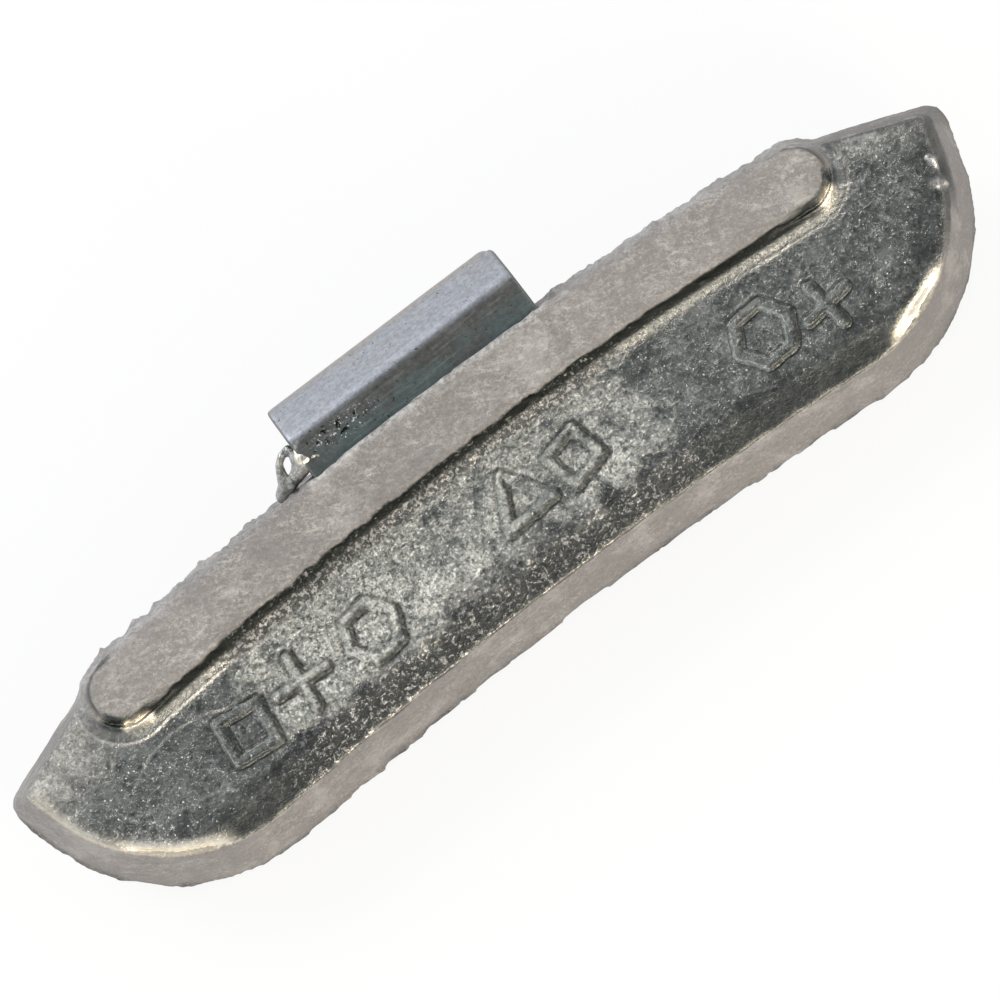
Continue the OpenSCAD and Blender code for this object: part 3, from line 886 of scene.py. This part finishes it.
def zincMaterial():
    f = zincFinish
    material, wire, place = startMaterial("castZinc")
    m = SimpleNamespace(**{name: mask(wire, name) for name in zincMasks})
    t = zincTextures(place)
    frost = (m.frosted * 0.82 + m.shoulder * 0.9 + t.patch * 1.3 - 1.0).step(0.0, 0.8)
    share = (m.satin + m.shoulder * 0.45 + m.endShade
             + (t.crumple - 0.5) * 1.6 * m.satin * (1 - m.satin)).clamp() * (1 - m.rolled)
    colour = share.blend(panelColour(m, t, frost), satinColour(m, t))
    colour = (m.endShade * (0.6 + t.crumple * 0.5)).clamp().blend(colour, f["darkFlecksAndShade"])
    # painted highlight: warm near-white on the rolled edges and at the glints
    bright = ((m.rolled * 1.3 + m.glint).clamp() * (0.55 + t.crumple * 0.8)).clamp()
    colour = bright.blend(colour, f["warmHighlight"])
    gloss = f["panelRoughness"] + frost * 0.14 + (t.patch - 0.5) * 0.15
    roughness = gloss * (1 - share) + (f["satinRoughness"] + (t.fine - 0.5) * 0.2) * share
    relief = t.crumple * (0.28 + frost * 0.3 + share * 0.3) \
        + t.fine * (0.15 + frost * 0.2 + share * 0.4) + t.foil * frost * 0.6 \
        + t.hairs * 0.12 + t.sparks * 0.2
    polished = (m.rolled * 0.8 + m.bevel * (1 - m.frosted) * 0.6).clamp()
    bump = wire.node("ShaderNodeBump", {}, {"Strength": 1.0, "Distance": f["bumpDistance"],
                                            "Height": relief * (1 - polished)})
    surface(wire, {"Specular IOR Level": 0.5},
            {"Base Color": colour, "Roughness": roughness, "Normal": bump,
             "Metallic": f["metallic"] - share * f["metallicLossOnWalls"]})
    return material


# Clip: zinc-plated spring steel, bluish on its sloping face and warmer towards the crown. Painted
# reflection: that upper face is painted light and the part below it dark
clipFinish = {
    "plate": (0.18, 0.188, 0.184), "plateBlue": (0.285, 0.303, 0.345),
    "plateWarm": (0.325, 0.29, 0.255), "plateDark": (0.09, 0.088, 0.082),
    "plateTeal": (0.085, 0.145, 0.145), "bare": (0.17, 0.165, 0.16),
    "pit": (0.02, 0.02, 0.02), "white": (0.80, 0.82, 0.84),
    "roughness": 0.4, "bumpStrength": 0.5, "bumpDistance": 0.0001,
    # how fine each texture is
    "cloud": 0.5, "drawn": 1.4, "mottle": 3.4, "dents": 3.6, "dots": 4.6, "flecks": 4.9,
    "fine": 5.5,
}


def clipMaterial():
    f = clipFinish
    material, wire, place = startMaterial("platedSteel")
    crown, litFacet, foot = mask(wire, "crown"), mask(wire, "litFacet"), mask(wire, "foot")
    pitted, cutEdge = mask(wire, "pitted"), mask(wire, "cutEdge")
    cloud = place.noise(f["cloud"], 5, 0.6, 0.5)
    drawn = place.stretch((0.35, 4.0, 4.0)).noise(f["drawn"], 5, 0.65, 0.2)
    fine = place.noise(f["fine"], 5, 0.7)
    dots = (1 - place.cells(f["dots"]).step(0.1, 0.24)) * pitted
    # painted reflection: lit copies of the plating on the upper sloping face, shaded copies below
    upper = (cloud * 1.3 + crown * 0.5 - 0.5).step(0.1, 0.9).blend(f["plateBlue"], f["plateWarm"])
    lower = (cloud * 0.8 + fine * 0.5).step(0.5, 0.95).blend(f["plateDark"], f["plate"])
    lower = (foot * cloud.step(0.3, 0.6) * 0.8).blend(lower, f["plateTeal"])
    colour = litFacet.blend(lower, upper)
    colour = (drawn.step(0.5, 0.72) * 0.13).blend(colour, f["white"])
    colour = (fine.step(0.6, 0.7) * (0.25 + foot * 0.3)).blend(colour, f["bare"])
    colour = (fine.step(0.66, 0.72) * 0.35).blend(colour, f["white"])
    mottle = (place.noise(f["mottle"], 6, 0.7, 0.2) - 0.5) * (0.3 * litFacet + 0.3)
    colour = (mottle + 0.12).clamp().blend(colour, f["plateDark"])
    colour = (0.08 - mottle).clamp().blend(colour, f["white"])
    dent = (place.noise(f["dents"], 3, 0.6, 0.4) + pitted * 0.13).step(0.68, 0.71)
    colour = (dots.clamp() * 0.5 + dent).clamp().blend(colour, f["pit"])
    flecks = place.noise(f["flecks"], 2, 0.6).step(0.62, 0.66) * pitted.step(0.2, 0.6)
    colour = flecks.blend(colour, f["white"])
    colour = (cutEdge * 0.6).blend(colour, f["bare"])
    roughness = f["roughness"] + (drawn - 0.5) * 0.22 + fine * 0.08 + cutEdge * 0.2
    height = drawn * 0.25 + fine * 0.35 + cloud * 0.5 - dots * 0.8
    bump = wire.node("ShaderNodeBump", {}, {"Strength": f["bumpStrength"],
                                            "Distance": f["bumpDistance"], "Height": height})
    surface(wire, {"Metallic": 1.0},
            {"Base Color": colour, "Roughness": roughness, "Normal": bump})
    return material


# Camera: in the drawing frame, half a metre from the casting's front and a little below it,
# rolled as in the photograph
viewpoint = {"towards": (0.0, -6.0, 2.0), "pitch": 8.2, "roll": 37.19, "distance": 500.0,
             "lens": 333.2, "sensor": 36, "clip": (0.01, 20),
             "right": 0.978, "up": -1.794}      # how far it is moved sideways and up, for framing


def placeCamera():
    v = viewpoint
    pitch, roll = math.radians(v["pitch"]), math.radians(v["roll"])
    away = Vector((0, -math.sin(pitch), math.cos(pitch)))
    across = Vector((1, 0, 0))
    upwards = away.cross(across)
    right = across * math.cos(roll) - upwards * math.sin(roll)
    up = across * math.sin(roll) + upwards * math.cos(roll)
    at = Vector(v["towards"]) + away * v["distance"] + right * v["right"] + up * v["up"]
    data = bpy.data.cameras.new("camera")
    data.lens, data.sensor_width = v["lens"], v["sensor"]
    data.clip_start, data.clip_end = v["clip"]
    camera = bpy.data.objects.new("camera", data)
    bpy.context.scene.collection.objects.link(camera)
    axes = Matrix([turnToRest(right), turnToRest(up), turnToRest(away)]).transposed()
    camera.matrix_world = Matrix.Translation(toRest([at])[0].tolist()) @ axes.to_4x4()
    bpy.context.scene.camera = camera


# Studio: white floor, a dome that is bright at the sides and dim overhead, and soft lamps
studio = {
    "floor": (0.92, 0.92, 0.92), "floorGlow": 0.86, "floorRadius": 3, "floorCorners": 64,
    "floorHeight": -0.00002,
    "dome": 1.15, "domeLow": (1.0, 1.0, 1.0), "domeHigh": (0.272, 0.283, 0.283),
    "domeTurns": (0.6, 0.86),        # height at which it begins to dim, and is dim
    # place, size, power and colour
    "lamps": {"warmLow": ((0.1, -0.55, 0.2), 0.22, 2.2, (1.0, 0.86, 0.66)),
              "coolSide": ((-0.3, 0.5, 0.35), 0.35, 2.4, (0.93, 0.96, 1.0))},
}


def buildFloor():
    s = studio
    mesh = bpy.data.meshes.new("floor")
    turns = [2 * math.pi * i / s["floorCorners"] for i in range(s["floorCorners"])]
    ring = [(s["floorRadius"] * math.cos(a), s["floorRadius"] * math.sin(a), s["floorHeight"])
            for a in turns]
    mesh.from_pydata(ring, [], [list(range(len(ring)))])
    floor = bpy.data.objects.new("floor", mesh)
    bpy.context.scene.collection.objects.link(floor)
    material = bpy.data.materials.new("paleFloor")
    wire = emptyTree(material)
    seen = wire.node("ShaderNodeLightPath", out="Is Camera Ray") \
        + wire.node("ShaderNodeLightPath", out="Is Glossy Ray") \
        + wire.node("ShaderNodeLightPath", out="Is Transmission Ray")
    matt = wire.node("ShaderNodeBsdfDiffuse", {}, {"Color": (*s["floor"], 1)})
    glow = wire.node("ShaderNodeEmission", {}, {"Color": (1, 1, 1, 1), "Strength": 1.0})
    both = wire.node("ShaderNodeMixShader", {}, {0: seen.clamp() * s["floorGlow"], 1: matt,
                                                 2: glow})
    wire.node("ShaderNodeOutputMaterial", {}, {"Surface": both})
    paint(floor, material)


def buildDome():
    world = bpy.data.worlds.new("studio")
    bpy.context.scene.world = world
    wire = emptyTree(world)
    direction = wire.node("ShaderNodeTexCoord", out="Generated")
    height = wire.node("ShaderNodeSeparateXYZ", {}, {0: direction}, 2)
    colour = height.step(*studio["domeTurns"]).blend(studio["domeLow"], studio["domeHigh"])
    sky = wire.node("ShaderNodeBackground", {}, {"Color": colour, "Strength": studio["dome"]})
    wire.node("ShaderNodeOutputWorld", {}, {"Surface": sky})


def hangLamps():
    for name, (at, size, power, colour) in studio["lamps"].items():
        data = bpy.data.lights.new(name, "AREA")
        data.size, data.energy, data.color = size, power, colour
        lamp = bpy.data.objects.new(name, data)
        lamp.location = at
        lamp.rotation_euler = Vector(at).to_track_quat("Z", "Y").to_euler()
        bpy.context.scene.collection.objects.link(lamp)


casting = castingShape()
clip = clipShape()
flash = flashShape()
zinc = zincMaterial()
paint(casting, zinc)
paint(flash, zinc)
paint(clip, clipMaterial())
print("materials: cast zinc and plated steel")
placeCamera()
buildFloor()
buildDome()
hangLamps()
bpy.context.scene.view_settings.view_transform = "Standard"
print("studio: camera, floor, dome and lamps")
